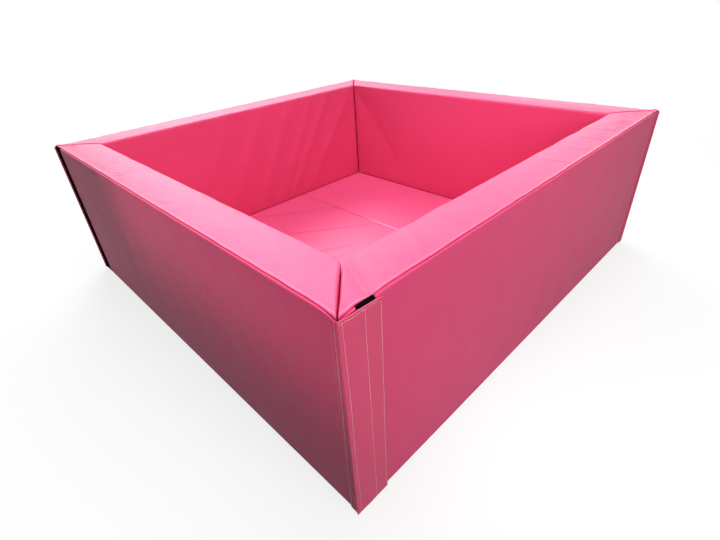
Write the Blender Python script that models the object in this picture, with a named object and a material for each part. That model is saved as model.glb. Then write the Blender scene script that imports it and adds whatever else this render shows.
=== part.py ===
"""Soft play ball pit: four foam walls in sewn vinyl covers, held together by hook-and-loop corner flaps,
around a floor mat that folds in three.

Metres, +Z up. The origin is on the floor at the middle of the pit. Each wall is named as seen by someone who
faces the front wall from outside. Every wall is built in its own frame, with X along the wall, Y inwards from the
plane of its outer face and Z up, and that frame is turned a quarter turn from one wall to the next. Seen from
outside, each wall carries its corner flap at its right end and the loop tape for its neighbour's flap at its left.
"""

import math

import bmesh
import bpy
from mathutils import Matrix, Vector

# The pit
PIT_LENGTH = 1.800
PIT_WIDTH = 1.800
WALL_HEIGHT = 0.614
WALL_THICKNESS = 0.145
MITRE_GAP = 0.003

# Shape of a stuffed wall
TOP_OUTER_RADIUS = 0.0075
TOP_INNER_RADIUS = 0.018
BOTTOM_RADIUS = 0.009
WALL_END_RADIUS = 0.005
TOP_CROWN = 0.004
OUTER_CROWN = 0.002
INNER_CROWN = 0.003
FLAT_NEAR_CORNER = 0.120
CROWN_RISE = 0.200

# Cover
COVER_THICKNESS = 0.0009
FIT = 0.0003

# Mat
MAT_THICKNESS = 0.050
MAT_GAP = 0.0065
FOLD_GAP = 0.0008
FOLD_CLEARANCE = 0.0005
MAT_EDGE_RADIUS = 0.009
FOLD_EDGE_RADIUS = 0.004
MAT_CROWN = 0.002
FOLD_BEAD_RADIUS = 0.0009
FOLD_BEAD_DEPTH = 0.0013
FOLD_BEAD_END = 0.012

# Corner flap and its tapes
FLAP_THICKNESS = 0.0014
FLAP_REACH_TOP = 0.110
FLAP_REACH_BOTTOM = 0.103
FLAP_FLOOR_GAP = 0.004
FLAP_BELOW_TOP = 0.004
TAPE_THICKNESS = 0.0012
LOOP_TAPE_WIDTH = 0.050
LOOP_TAPE_FLOOR_GAP = 0.010
LOOP_TAPE_FROM_CORNER = 0.046
LOOP_TAPE_FROM_BACK_LEFT_CORNER = 0.014
HOOK_TAPE_FROM_CORNER = 0.003
HOOK_TAPE_FROM_FREE_EDGE = 0.002
HOOK_TAPE_HEM = 0.010
SEAM_STRIP_WIDTH = 0.024

# Zips
WALL_ZIP_FROM_CORNER = 0.300
MAT_ZIP_FROM_EDGE = 0.150
GROOVE_WIDTH = 0.030
GROOVE_DEPTH = 0.0070
SLOT_WIDTH = 0.012
SLOT_END = 0.006
ZIP_TAPE_WIDTH = 0.027
ZIP_TAPE_THICKNESS = 0.0008
ZIP_END_GAP = 0.0005
COIL_NECK_WIDTH = 0.0024
COIL_NECK_DEPTH = 0.0012
COIL_WIDTH = 0.0060
COIL_DEPTH = 0.0016
SLIDER_WIDTH = 0.011
SLIDER_LENGTH = 0.018
SLIDER_FLOOR = 0.0012
SLIDER_FROM_ZIP_END = 0.010

# Extra length of every cutter
OVERRUN = 0.002

# Corner arcs and straight runs are divided this many times
WALL_ARC_STEPS = 3
WALL_FACE_STEPS = 4
WALL_TOP_STEPS = 4
MAT_ARC_STEPS = 2
MAT_TOP_STEPS = 4
BEAD_STEPS = 10

# Where the rings of a mat panel lie between its middle and the start of its rounded ends
PANEL_RING_SHARES = (-0.7, 0, 0.7)

# Distances worked out from the sizes above
LOOP_OUT = FIT + TAPE_THICKNESS
HOOK_IN = LOOP_OUT + FIT
HOOK_OUT = HOOK_IN + TAPE_THICKNESS
FLAP_IN = HOOK_OUT + FIT
HINGE_OUT = FLAP_IN + FLAP_THICKNESS / 2
FLAP_TOP = WALL_HEIGHT - FLAP_BELOW_TOP
HOOK_TAPE_WIDTH = min(FLAP_REACH_TOP, FLAP_REACH_BOTTOM) - HOOK_TAPE_FROM_CORNER - HOOK_TAPE_FROM_FREE_EDGE
INSIDE_LENGTH = PIT_LENGTH - 2 * WALL_THICKNESS
INSIDE_WIDTH = PIT_WIDTH - 2 * WALL_THICKNESS
MAT_LENGTH = INSIDE_LENGTH - 2 * MAT_GAP
MAT_WIDTH = INSIDE_WIDTH - 2 * MAT_GAP
PANEL_LENGTH = (MAT_LENGTH - 2 * FOLD_GAP) / 3
PANEL_PITCH = PANEL_LENGTH + FOLD_GAP
TOP_FOLD_HEIGHT = MAT_THICKNESS + MAT_CROWN + FOLD_CLEARANCE
BOTTOM_FOLD_HEIGHT = -FOLD_CLEARANCE

# The walls, each a quarter turn on from the one before: its length, the depth of the pit square to it, and how far
# its loop tape lies from the corner
WALLS = {
    "front_wall": (PIT_LENGTH, PIT_WIDTH, LOOP_TAPE_FROM_CORNER),
    "right_wall": (PIT_WIDTH, PIT_LENGTH, LOOP_TAPE_FROM_CORNER),
    "back_wall": (PIT_LENGTH, PIT_WIDTH, LOOP_TAPE_FROM_CORNER),
    "left_wall": (PIT_WIDTH, PIT_LENGTH, LOOP_TAPE_FROM_BACK_LEFT_CORNER),
}
FOLDED_BACK = {"back_wall"}
FOLD_BACK_ANGLE = math.radians(-270)
SMOOTH_ANGLE = math.radians(35)


def clear_scene():
    for obj in list(bpy.data.objects):
        bpy.data.objects.remove(obj, do_unlink=True)


def material(name, colour, roughness, metallic=0.0):
    """A Principled material of one colour, made once for each node."""
    made = bpy.data.materials.new(name)
    made.use_nodes = True
    shader = made.node_tree.nodes["Principled BSDF"]
    shader.inputs["Base Color"].default_value = (*colour, 1.0)
    shader.inputs["Roughness"].default_value = roughness
    shader.inputs["Metallic"].default_value = metallic
    made.diffuse_color = (*colour, 1.0)
    return made


VINYL = ((0.72, 0.045, 0.15), 0.35)
FOAM = ((0.80, 0.78, 0.70), 0.95)
TAPE = ((0.012, 0.012, 0.013), 0.85)
ZIP = ((0.45, 0.05, 0.12), 0.70)
SLIDER = ((0.03, 0.03, 0.03), 0.45)


def empty(name, location, turn=0.0, parent=None):
    """A frame or a joint axis that pieces are parented to."""
    made = bpy.data.objects.new(name, None)
    bpy.context.scene.collection.objects.link(made)
    made.parent = parent
    made.location = location
    made.rotation_euler = (0, 0, turn)
    return made


def solid(name, rings, look, parent, location=(0, 0, 0)):
    """A closed body through rings of points, alike in number, with a flat cap on the first and last."""
    count = len(rings[0])
    mesh = bpy.data.meshes.new(name)
    shape = bmesh.new()
    rows = [[shape.verts.new(point) for point in ring] for ring in rings]
    for near, far in zip(rows, rows[1:]):
        for i in range(count):
            after = (i + 1) % count
            shape.faces.new((near[i], near[after], far[after]))
            shape.faces.new((near[i], far[after], far[i]))
    shape.faces.new(rows[0])
    shape.faces.new(rows[-1])
    bmesh.ops.recalc_face_normals(shape, faces=shape.faces)
    shape.to_mesh(mesh)
    shape.free()
    mesh.shade_smooth()
    mesh.set_sharp_from_angle(angle=SMOOTH_ANGLE)
    made = bpy.data.objects.new(name, mesh)
    bpy.context.scene.collection.objects.link(made)
    made.parent = parent
    made.location = location
    if look is None:
        made.hide_render = True
        made.display_type = "WIRE"
    else:
        mesh.materials.append(material(name, *look))
    return made


def cut(target, cutter):
    """Takes the cutter's shape out of the target."""
    made = target.modifiers.new(cutter.name, "BOOLEAN")
    made.operation = "DIFFERENCE"
    made.solver = "EXACT"
    made.object = cutter


def box_rings(low, high):
    """Two square rings, at the low and the high X, of an upright box."""
    return [
        [(x, low[1], low[2]), (x, high[1], low[2]), (x, high[1], high[2]), (x, low[1], high[2])]
        for x in (low[0], high[0])
    ]


def smooth_rise(share):
    """0 up to a share of 0, 1 from a share of 1, and an S between them."""
    share = min(max(share, 0.0), 1.0)
    return share * share * (3.0 - 2.0 * share)


def bulge(place, span, power):
    """1 at the middle of the span, 0 at both ends and beyond."""
    return max(0.0, 1.0 - abs(2.0 * place / span - 1.0) ** power)


def rounded_outline(low, high, radii, arc_steps, run_steps):
    """Points round a rectangle with rounded corners, from its lower left corner, anticlockwise.

    radii: lower left, lower right, upper right, upper left. run_steps: lower, right, upper and left runs.
    """
    signs = ((-1, -1), (1, -1), (1, 1), (-1, 1))
    arcs = []
    for quarter, (radius, (across, up)) in enumerate(zip(radii, signs)):
        centre = Vector((high[0] - radius if across > 0 else low[0] + radius,
                         high[1] - radius if up > 0 else low[1] + radius))
        start = math.pi + quarter * math.pi / 2
        turns = [start + step * math.pi / 2 / arc_steps for step in range(arc_steps + 1)]
        arcs.append([centre + radius * Vector((math.cos(turn), math.sin(turn))) for turn in turns])
    points = []
    for arc, after, steps in zip(arcs, arcs[1:] + arcs[:1], run_steps):
        points += arc
        points += [arc[-1].lerp(after[0], step / steps) for step in range(1, steps)]
    return points


def end_rings(radius, inset, steps=2):
    """Pairs of depth behind the end plane and inset of the outline, for an end rounded to the radius."""
    turns = [step * math.pi / 2 / steps for step in range(steps + 1)]
    reach = radius - inset
    return [(inset + reach * (1 - math.cos(turn)), inset + reach * (1 - math.sin(turn))) for turn in turns]


def wall_skin(length, inset):
    """Rings of a stuffed wall whose skin lies the inset inside its outside, mitred at 45 degrees at both ends."""
    half = length / 2
    inner_run = length - 2 * WALL_THICKNESS
    depths = end_rings(WALL_END_RADIUS, inset)
    body_depth = depths[-1][0]
    stations = [(-1, depth, drawn_in) for depth, drawn_in in depths]
    crown_starts = (FLAT_NEAR_CORNER, FLAT_NEAR_CORNER + CROWN_RISE / 2, FLAT_NEAR_CORNER + CROWN_RISE)
    fans = [1 - start / half for start in crown_starts]
    stations += [(-fan, body_depth, inset) for fan in fans]
    stations += [(0, body_depth, inset)]
    stations += [(fan, body_depth, inset) for fan in reversed(fans)]
    stations += [(1, depth, drawn_in) for depth, drawn_in in reversed(depths)]
    rings = []
    for fan, depth, drawn_in in stations:
        outline = rounded_outline(
            (drawn_in, drawn_in),
            (WALL_THICKNESS - drawn_in, WALL_HEIGHT - drawn_in),
            [r - drawn_in for r in (BOTTOM_RADIUS, BOTTOM_RADIUS, TOP_INNER_RADIUS, TOP_OUTER_RADIUS)],
            WALL_ARC_STEPS,
            (1, WALL_FACE_STEPS, WALL_TOP_STEPS, WALL_FACE_STEPS),
        )
        ring = []
        for across, up in outline:
            reach = half - across - (MITRE_GAP / 2 + depth) * math.sqrt(2)
            along = fan * reach
            stuffed = bulge(up, WALL_HEIGHT, 4)
            if across < WALL_THICKNESS / 2:
                from_corner = half - abs(along) - FLAT_NEAR_CORNER
                across -= OUTER_CROWN * stuffed * smooth_rise(from_corner / CROWN_RISE)
            else:
                across += INNER_CROWN * stuffed * bulge(along + inner_run / 2, inner_run, 4)
            if up > WALL_HEIGHT / 2:
                up += TOP_CROWN * bulge(across, WALL_THICKNESS, 2)
            ring.append((along, across, up))
        rings.append(ring)
    return rings


def panel_skin(fold_sides, inset):
    """Rings of one mat panel. fold_sides: whether its -X and its +X edge are folds, which are rounded less."""
    radii = [FOLD_EDGE_RADIUS if fold else MAT_EDGE_RADIUS for fold in fold_sides]
    tightest = min(radii)
    depths = end_rings(tightest, inset)
    body = MAT_WIDTH / 2 - depths[-1][0]
    stations = [(-(MAT_WIDTH / 2 - depth), drawn_in) for depth, drawn_in in depths]
    stations += [(share * body, inset) for share in PANEL_RING_SHARES]
    stations += [(MAT_WIDTH / 2 - depth, drawn_in) for depth, drawn_in in reversed(depths)]
    half = PANEL_LENGTH / 2
    rings = []
    for along, drawn_in in stations:
        left, right = (radius - drawn_in for radius in radii)
        outline = rounded_outline(
            (-half + drawn_in, drawn_in),
            (half - drawn_in, MAT_THICKNESS - drawn_in),
            (left, right, right, left),
            MAT_ARC_STEPS,
            (2, 1, MAT_TOP_STEPS, 1),
        )
        ring = []
        for across, up in outline:
            if up > MAT_THICKNESS / 2:
                fullness = bulge(along + MAT_WIDTH / 2, MAT_WIDTH, 4) * bulge(across + half, PANEL_LENGTH, 2)
                up += MAT_CROWN * fullness
            ring.append((across, along, up))
        rings.append(ring)
    return rings


def turned(rings, turn):
    """The rings turned about Z."""
    matrix = Matrix.Rotation(turn, 3, "Z")
    return [[tuple(matrix @ Vector(point)) for point in ring] for ring in rings]


def centred_box(half_length, half_width, low, high):
    return box_rings((-half_length, -half_width, low), (half_length, half_width, high))


def zip_coil_underside():
    """Heights of the zip's tape underside, coil shoulder and coil underside, in the groove."""
    tape = GROOVE_DEPTH - FIT - ZIP_TAPE_THICKNESS
    shoulder = tape - COIL_NECK_DEPTH
    return tape, shoulder, shoulder - COIL_DEPTH


def mirrored_profile(side):
    """A closed profile from the points of its right half, from the bottom up."""
    return side + [(-across, up) for across, up in reversed(side)]


def zip_rings(half_length):
    """The zip's tape with its coil below it, a T-shaped rib."""
    tape, shoulder, under = zip_coil_underside()
    side = [
        (COIL_WIDTH / 2, under),
        (COIL_WIDTH / 2, shoulder),
        (COIL_NECK_WIDTH / 2, shoulder),
        (COIL_NECK_WIDTH / 2, tape),
        (ZIP_TAPE_WIDTH / 2, tape),
        (ZIP_TAPE_WIDTH / 2, tape + ZIP_TAPE_THICKNESS),
    ]
    profile = mirrored_profile(side)
    return [[(x, across, up) for across, up in profile] for x in (-half_length, half_length)]


def slider_rings():
    """A slider that wraps the coil from below, with lips over its shoulders and no pull tab."""
    tape, shoulder, under = zip_coil_underside()
    bottom = under - FIT - SLIDER_FLOOR
    outside = [
        (SLIDER_WIDTH / 2, bottom),
        (SLIDER_WIDTH / 2, tape - FIT),
        (COIL_NECK_WIDTH / 2 + FIT, tape - FIT),
        (COIL_NECK_WIDTH / 2 + FIT, shoulder + FIT),
        (COIL_WIDTH / 2 + FIT, shoulder + FIT),
        (COIL_WIDTH / 2 + FIT, under - FIT),
    ]
    profile = mirrored_profile(outside)
    half = SLIDER_LENGTH / 2
    return [[(x, across, up) for across, up in profile] for x in (-half, half)]


def covered_foam(name, skin, zip_half, zip_turn, zip_at, parent):
    """A sewn cover over a block of foam, with a zip in a groove of the underside and its slider.

    skin: the rings for an inset. The zip runs along X turned by zip_turn, centred at zip_at.
    """
    frame = empty(f"{name}_zip_frame", zip_at, zip_turn, parent)
    half_groove = zip_half + ZIP_END_GAP
    cover = solid(f"{name}_cover", skin(0), VINYL, parent)
    hollow = solid(f"{name}_hollow", skin(COVER_THICKNESS), None, parent)
    foam = solid(f"{name}_foam_core", skin(COVER_THICKNESS + FIT), FOAM, parent)
    groove = solid(
        f"{name}_groove", centred_box(half_groove, GROOVE_WIDTH / 2, -OVERRUN, GROOVE_DEPTH), None, frame
    )
    lining = COVER_THICKNESS
    lined = solid(
        f"{name}_lined_groove",
        centred_box(half_groove + lining, GROOVE_WIDTH / 2 + lining, -OVERRUN, GROOVE_DEPTH + lining),
        None,
        frame,
    )
    lining += FIT
    cleared = solid(
        f"{name}_cleared_groove",
        centred_box(half_groove + lining, GROOVE_WIDTH / 2 + lining, -OVERRUN, GROOVE_DEPTH + lining),
        None,
        frame,
    )
    slot = solid(
        f"{name}_slot",
        centred_box(zip_half - SLOT_END, SLOT_WIDTH / 2, GROOVE_DEPTH - FIT, GROOVE_DEPTH + lining),
        None,
        frame,
    )
    cut(hollow, lined)
    cut(cover, hollow)
    cut(cover, groove)
    cut(cover, slot)
    cut(foam, cleared)
    solid(f"{name}_zip", zip_rings(zip_half), ZIP, frame)
    slider_at = zip_half - SLIDER_FROM_ZIP_END - SLIDER_LENGTH / 2
    solid(f"{name}_zip_slider", slider_rings(), SLIDER, frame, (slider_at, 0, 0))


def loop_tape_rings(length, from_corner):
    """Loop tape up the outer face of a wall and over its rounded top edge to the top seam."""
    radius = TOP_OUTER_RADIUS
    sides = []
    for out in (FIT, LOOP_OUT):
        side = [(-out, LOOP_TAPE_FLOOR_GAP)]
        for step in range(2 * WALL_ARC_STEPS + 1):
            turn = math.pi - step * math.pi / 4 / WALL_ARC_STEPS
            across = radius + (radius + out) * math.cos(turn)
            up = WALL_HEIGHT - radius + (radius + out) * math.sin(turn)
            side.append((across, up + TOP_CROWN * bulge(max(across, 0), WALL_THICKNESS, 2)))
        sides.append(side)
    profile = sides[0] + sides[1][::-1]
    start = -length / 2 + from_corner
    return [[(x, across, up) for across, up in profile] for x in (start, start + LOOP_TAPE_WIDTH)]


def seam_strip_rings():
    """The sewn-down edge of a flap on its own wall, drawn from the corner, which ends in a nose under the fold."""
    low, high = FIT, FIT + FLAP_THICKNESS
    nose = HINGE_OUT - FLAP_THICKNESS / 2 - FIT
    profile = [
        (-SEAM_STRIP_WIDTH, -low),
        (-SEAM_STRIP_WIDTH, -high),
        (-high, -high),
        (low, -(high + low)),
        (high, -nose),
        (nose - low, -nose),
        (nose, low - nose),
        (nose, -high),
        (low + high, -(low + low)),
        (low, -low),
    ]
    return [[(x, y, z) for x, y in profile] for z in (FLAP_FLOOR_GAP, FLAP_TOP)]


def flap_rings():
    """A flap from its fold, a round bead on the joint's axis, to its free edge. It narrows a little downwards."""
    bead = FLAP_THICKNESS / 2
    rings = []
    for z, reach in ((FLAP_FLOOR_GAP, FLAP_REACH_BOTTOM), (FLAP_TOP, FLAP_REACH_TOP)):
        end = reach + HINGE_OUT
        turns = [math.pi + step * math.pi / BEAD_STEPS for step in range(BEAD_STEPS + 1)]
        ring = [(bead * math.cos(turn), bead * math.sin(turn), z) for turn in turns]
        ring += [(bead, end - bead / 2, z), (bead / 2, end, z), (-bead / 2, end, z), (-bead, end - bead / 2, z)]
        rings.append(ring)
    return rings


def hook_tape_rings():
    """Hook tape on the inside of the flap, kept clear of its hems."""
    near, far = HOOK_OUT - HINGE_OUT, HOOK_IN - HINGE_OUT
    rings = []
    for z, reach in (
        (FLAP_FLOOR_GAP + HOOK_TAPE_HEM, FLAP_REACH_BOTTOM),
        (FLAP_TOP - HOOK_TAPE_HEM, FLAP_REACH_TOP),
    ):
        end = reach + HINGE_OUT - HOOK_TAPE_FROM_FREE_EDGE
        start = end - HOOK_TAPE_WIDTH
        rings.append([(near, start, z), (near, end, z), (far, end, z), (far, start, z)])
    return rings


def build_wall(name, quarter_turns, length, depth, tape_from_corner):
    turn = quarter_turns * math.pi / 2
    outwards = Matrix.Rotation(turn, 3, "Z") @ Vector((0, -depth / 2, 0))
    frame = empty(f"{name}_frame", outwards, turn)
    covered_foam(
        name,
        lambda inset: wall_skin(length, inset),
        length / 2 - WALL_ZIP_FROM_CORNER,
        0.0,
        (0, WALL_THICKNESS / 2, 0),
        frame,
    )
    solid(f"{name}_loop_tape", loop_tape_rings(length, tape_from_corner), TAPE, frame)
    solid(f"{name}_flap_seam_strip", seam_strip_rings(), VINYL, frame, (length / 2, 0, 0))
    swing = FOLD_BACK_ANGLE if name in FOLDED_BACK else 0.0
    hinge = empty(f"{name}_flap_hinge", (length / 2 + HINGE_OUT, -HINGE_OUT, 0), swing, frame)
    solid(f"{name}_corner_flap", flap_rings(), VINYL, hinge)
    solid(f"{name}_hook_tape", hook_tape_rings(), TAPE, hinge)


def bead_rings(height):
    """The round seam between two panels, along Y."""
    turns = [step * 2 * math.pi / BEAD_STEPS for step in range(BEAD_STEPS)]
    half = MAT_WIDTH / 2 - FOLD_BEAD_END
    return [
        [(FOLD_BEAD_RADIUS * math.cos(turn), y, height + FOLD_BEAD_RADIUS * math.sin(turn)) for turn in turns]
        for y in (-half, half)
    ]


def build_mat():
    """Three panels, from the right wall to the left one. The right panel stays down when the mat is folded."""
    fold = PANEL_PITCH / 2
    top_hinge = empty("mat_top_fold_hinge", (fold, 0, TOP_FOLD_HEIGHT))
    bottom_hinge = empty(
        "mat_bottom_fold_hinge", (-PANEL_PITCH, 0, BOTTOM_FOLD_HEIGHT - TOP_FOLD_HEIGHT), 0.0, top_hinge
    )
    right = empty("mat_right_frame", (PANEL_PITCH, 0, 0))
    middle = empty("mat_middle_frame", (-fold, 0, -TOP_FOLD_HEIGHT), 0.0, top_hinge)
    left = empty("mat_left_frame", (-fold, 0, -BOTTOM_FOLD_HEIGHT), 0.0, bottom_hinge)
    for name, fold_sides, parent in (
        ("mat_right", (True, False), right),
        ("mat_middle", (True, True), middle),
        ("mat_left", (False, True), left),
    ):
        covered_foam(
            name,
            lambda inset, sides=fold_sides: panel_skin(sides, inset),
            MAT_WIDTH / 2 - MAT_ZIP_FROM_EDGE,
            math.pi / 2,
            (0, 0, 0),
            parent,
        )
    solid("mat_top_fold_seam", bead_rings(MAT_THICKNESS - FOLD_BEAD_DEPTH), VINYL, right, (-fold, 0, 0))
    solid("mat_bottom_fold_seam", bead_rings(FOLD_BEAD_DEPTH), VINYL, middle, (-fold, 0, 0))


clear_scene()
for turns, (wall, sizes) in enumerate(WALLS.items()):
    build_wall(wall, turns, *sizes)
build_mat()
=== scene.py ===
# %% [markdown]
# # A soft play ball pit
# Four foam walls in sewn vinyl stand in a square, held at the corners by flaps of hook-and-loop tape, round
# a floor mat that folds in three. This file dresses a model whose moving parts are already in place: each
# piece made here takes the place of a plain solid and rides on the same body. Lengths are in metres and +Z
# is up.

# %% Load the model that the looks are built around
import math

import bpy
import numpy as np
from mathutils import Matrix


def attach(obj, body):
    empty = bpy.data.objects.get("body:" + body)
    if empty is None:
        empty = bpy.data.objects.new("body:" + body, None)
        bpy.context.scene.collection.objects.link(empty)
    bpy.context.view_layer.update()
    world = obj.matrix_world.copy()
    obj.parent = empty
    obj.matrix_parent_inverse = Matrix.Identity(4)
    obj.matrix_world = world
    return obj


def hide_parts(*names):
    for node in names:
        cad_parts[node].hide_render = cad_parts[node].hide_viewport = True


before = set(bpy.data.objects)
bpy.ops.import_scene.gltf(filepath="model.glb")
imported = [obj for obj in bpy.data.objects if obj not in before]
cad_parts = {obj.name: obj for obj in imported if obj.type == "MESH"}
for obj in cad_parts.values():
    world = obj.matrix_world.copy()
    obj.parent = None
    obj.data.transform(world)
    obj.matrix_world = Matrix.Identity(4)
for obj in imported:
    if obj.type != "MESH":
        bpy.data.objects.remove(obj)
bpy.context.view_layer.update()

# %% Sizes of the real pit, as the model has them
MM = 0.001
PIT = 1.800
HEIGHT = 0.614
THICKNESS = 0.145
MITRE_GAP = 0.003
TOP_OUTER_RADIUS, TOP_INNER_RADIUS, BOTTOM_RADIUS = 0.0055, 0.010, 0.009
HINGE_OUT = 0.004
FLAP_LOW, FLAP_HIGH, FLAP_REACH, FLAP_REACH_LOW = 0.004, 0.6105, 0.110, 0.103
MAT_THICKNESS, MAT_GAP, FOLD_GAP = 0.050, 0.0065, 0.0008
MAT_WIDTH = PIT - 2 * THICKNESS - 2 * MAT_GAP
PANEL = (MAT_WIDTH - 2 * FOLD_GAP) / 3
PITCH = PANEL + FOLD_GAP
GROOVE_WIDTH, GROOVE_DEPTH = 0.030, 0.007
WALL_ZIP_HALF, MAT_ZIP_HALF = PIT / 2 - 0.300, MAT_WIDTH / 2 - 0.150
WALL_FOAM_INSET, MAT_FOAM_INSET = 0.0065, 0.0050
WALLS = ("front_wall", "right_wall", "back_wall", "left_wall")
PANELS = {"mat_right": PITCH, "mat_middle": 0.0, "mat_left": -PITCH}
print("mat panel:", round(PANEL, 4), "m of", round(MAT_WIDTH, 4))

# %% [markdown]
# The photograph was taken from above one corner with a wide lens. Its place and tilt were worked out from
# fourteen points on the pit's straight edges, so the camera is set by three turns and a place, and its
# matrix is written straight from the directions that point to the right, up and backwards.

# %% The camera
def put(name, data, side, above, back, place):
    """Puts a camera or a lamp into the scene, by the directions of its own X, Y and Z and its place."""
    thing = bpy.data.objects.new(name, data)
    bpy.context.scene.collection.objects.link(thing)
    axes = np.eye(4)
    axes[:3] = np.stack([side, above, back, place], axis=1)
    thing.matrix_world = Matrix(axes.tolist())
    return thing


# The camera is turned from +Y, tilted down and then rolled, by these angles in degrees.
az, el, ro = (math.radians(angle) for angle in (-42.934, 32.236, -3.924))
forward = np.array([-math.sin(az) * math.cos(el), math.cos(az) * math.cos(el), -math.sin(el)])
level = np.array([math.cos(az), math.sin(az), 0.0])
above = np.cross(level, forward)
right = math.cos(ro) * level + math.sin(ro) * above
up = -math.sin(ro) * level + math.cos(ro) * above
SENSOR, FOCAL_PIXELS, PHOTO_WIDTH = 36.0, 432.63, 720.0
lens = bpy.data.cameras.new("camera")
lens.sensor_fit, lens.sensor_width, lens.clip_end = "HORIZONTAL", SENSOR, 300.0
lens.lens = SENSOR * FOCAL_PIXELS / PHOTO_WIDTH
stand = np.array([-0.7036, -0.7561, 0.6015]) * PIT
bpy.context.scene.camera = put("camera", lens, right, up, -forward, stand)
bpy.context.scene.view_settings.view_transform = "Standard"
print("camera at", np.round(stand, 3), "lens", round(lens.lens, 2))

# %% [markdown]
# ## Materials
# The cover is PVC-coated cloth: one strong pink, a soft gloss, and a skin so finely grained that only its
# highlights show it. Its look comes from the shader, so the maths of the shader has to be easy to read. A
# small class wraps a socket, and Python's own operators then add the Math nodes.

# %% Shader maths as Python expressions
class Value:
    """A socket that takes part in sums: each operator adds the Math node that works it out."""

    def __init__(self, tree, socket):
        self.tree, self.socket = tree, socket

    def math(self, operation, *others):
        node = self.tree.nodes.new("ShaderNodeMath")
        node.operation = operation
        for slot, item in zip(node.inputs, (self, *others)):
            plug(self.tree, slot, item)
        return Value(self.tree, node.outputs[0])

    def __add__(self, other):
        return self.math("ADD", other)

    def __mul__(self, other):
        return self.math("MULTIPLY", other)

    def __sub__(self, other):
        return self.math("SUBTRACT", other)

    def __rsub__(self, other):
        return (self * -1.0) + other


def plug(tree, socket, item):
    """Sets a socket to a number or colour, or links a Value to it."""
    if isinstance(item, Value):
        tree.links.new(item.socket, socket)
    else:
        socket.default_value = item


class Finish:
    """A material being made. add() puts in any node, with its settings first and then its sockets."""

    def __init__(self, name):
        self.material = bpy.data.materials.new(name)
        self.material.use_nodes = True
        self.tree = self.material.node_tree
        self.tree.nodes.clear()
        self.places = self.add("ShaderNodeTexCoord", output="Object")

    def add(self, kind, settings=None, sockets=None, output=0):
        node = self.tree.nodes.new(kind)
        for name, setting in (settings or {}).items():
            setattr(node, name, setting)
        for name, item in (sockets or {}).items():
            plug(self.tree, node.inputs[name], item)
        return Value(self.tree, node.outputs[output]) if node.outputs else None

    def noise(self, size, detail=2.0, roughness=0.5):
        """Noise whose lumps are about this size, in metres, from 0 to 1."""
        sockets = {"Vector": self.places, "Scale": 1.0 / size, "Detail": detail, "Roughness": roughness}
        return self.add("ShaderNodeTexNoise", sockets=sockets)

    def blend(self, share, first, second):
        """A colour that goes from the first to the second with the share."""
        return self.add("ShaderNodeMix", {"data_type": "RGBA"}, {0: share, 6: first, 7: second}, output=2)

    def bump(self, height, depth, strength, under=None):
        """A Bump node of this depth in metres, over another if given."""
        sockets = {"Height": height, "Distance": depth, "Strength": strength}
        if under is not None:
            sockets["Normal"] = under
        return self.add("ShaderNodeBump", sockets=sockets)

    def finish(self, **sockets):
        """The Principled shader, from words such as base_color and roughness."""
        named = {name.replace("_", " ").title().replace("Ior", "IOR"): item for name, item in sockets.items()}
        surface = self.add("ShaderNodeBsdfPrincipled", sockets=named)
        self.add("ShaderNodeOutputMaterial", sockets={"Surface": surface})
        return self.material


def colour(red, green, blue):
    """A colour as seen on a screen, 0 to 255, made linear for the shader."""
    share = np.array([red, green, blue]) / 255.0
    linear = np.where(share <= 0.04045, share / 12.92, ((share + 0.055) / 1.055) ** 2.4)
    return (*linear.tolist(), 1.0)


def darker(shade, share):
    """The same colour with its light cut to a share."""
    return (*(c * share for c in shade[:3]), 1.0)


print("mid grey, linear:", [round(c, 3) for c in colour(128, 128, 128)])

# %% [markdown]
# The vinyl's pink is nearly even. Real covers still show a little: the coating is thinner here and there,
# hands leave the gloss patchy, and the skin has a fine leather grain. Broad noise drives colour and gloss,
# and fine noise drives the bump.

# %% Vinyl, in a shade each for the covers, the flaps, the mat and its folds; the mat's and the folds' are lightened as painted sheen and highlight
def vinyl(name, pink, deep, roughness):
    """Pink coated cloth: broad noise takes it to the deeper shade, patches vary its gloss, and bumps grain it.

    Its point attribute darkens it with dirt and painted shade where it is above 0, and pales it with a painted
    highlight where it is below 0.
    """
    made = Finish(name)
    broad = made.noise(0.22, 3.0)
    patches = made.noise(0.035, 4.0, 0.6)
    grain = made.noise(0.0011, 3.0, 0.6)
    cells = {"Vector": made.places, "Scale": 620.0}
    hide = made.add("ShaderNodeTexVoronoi", {"feature": "DISTANCE_TO_EDGE"}, cells)
    skin = made.bump(grain * 0.6 + hide * 0.8, 0.00012, 0.55)
    soft = made.bump(made.noise(0.028, 2.0), 0.0006, 0.35, skin)
    painted_light_and_dirt = made.add("ShaderNodeAttribute", {"attribute_name": "painted_light_and_dirt"}, output="Fac")
    clean = made.blend(broad * 0.5 + patches * 0.15, pink, deep)
    # Below 0 a pale pink is blended in as a painted highlight, and above 0 a deep red as dirt and painted
    # shade.
    with_painted_highlight = made.blend((painted_light_and_dirt * -1.0).math("MAXIMUM", 0.0), clean, colour(255, 196, 214))
    dirt_and_painted_shade = (deep[0] * 0.52, deep[1] * 0.07, deep[2] * 0.24, 1.0)
    return made.finish(
        base_color=made.blend(painted_light_and_dirt.math("MAXIMUM", 0.0), with_painted_highlight, dirt_and_painted_shade),
        roughness=patches * 0.10 + roughness,
        normal=soft,
        specular_ior_level=0.25,
    )


pink_vinyl = vinyl("pink_vinyl", colour(216, 69, 115), colour(208, 63, 108), 0.50)
flap_vinyl = vinyl("flap_vinyl", colour(212, 75, 113), colour(204, 68, 106), 0.50)
# The mat's vinyl is lighter than the covers', as painted sheen.
mat_vinyl = vinyl("mat_vinyl", colour(234, 91, 140), colour(226, 84, 132), 0.40)
# The folds' bead is lighter still, as a painted highlight.
bead_vinyl = vinyl("bead_vinyl", colour(250, 136, 172), colour(244, 126, 164), 0.36)
print("made", [made.name for made in (pink_vinyl, flap_vinyl, mat_vinyl, bead_vinyl)])

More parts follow.
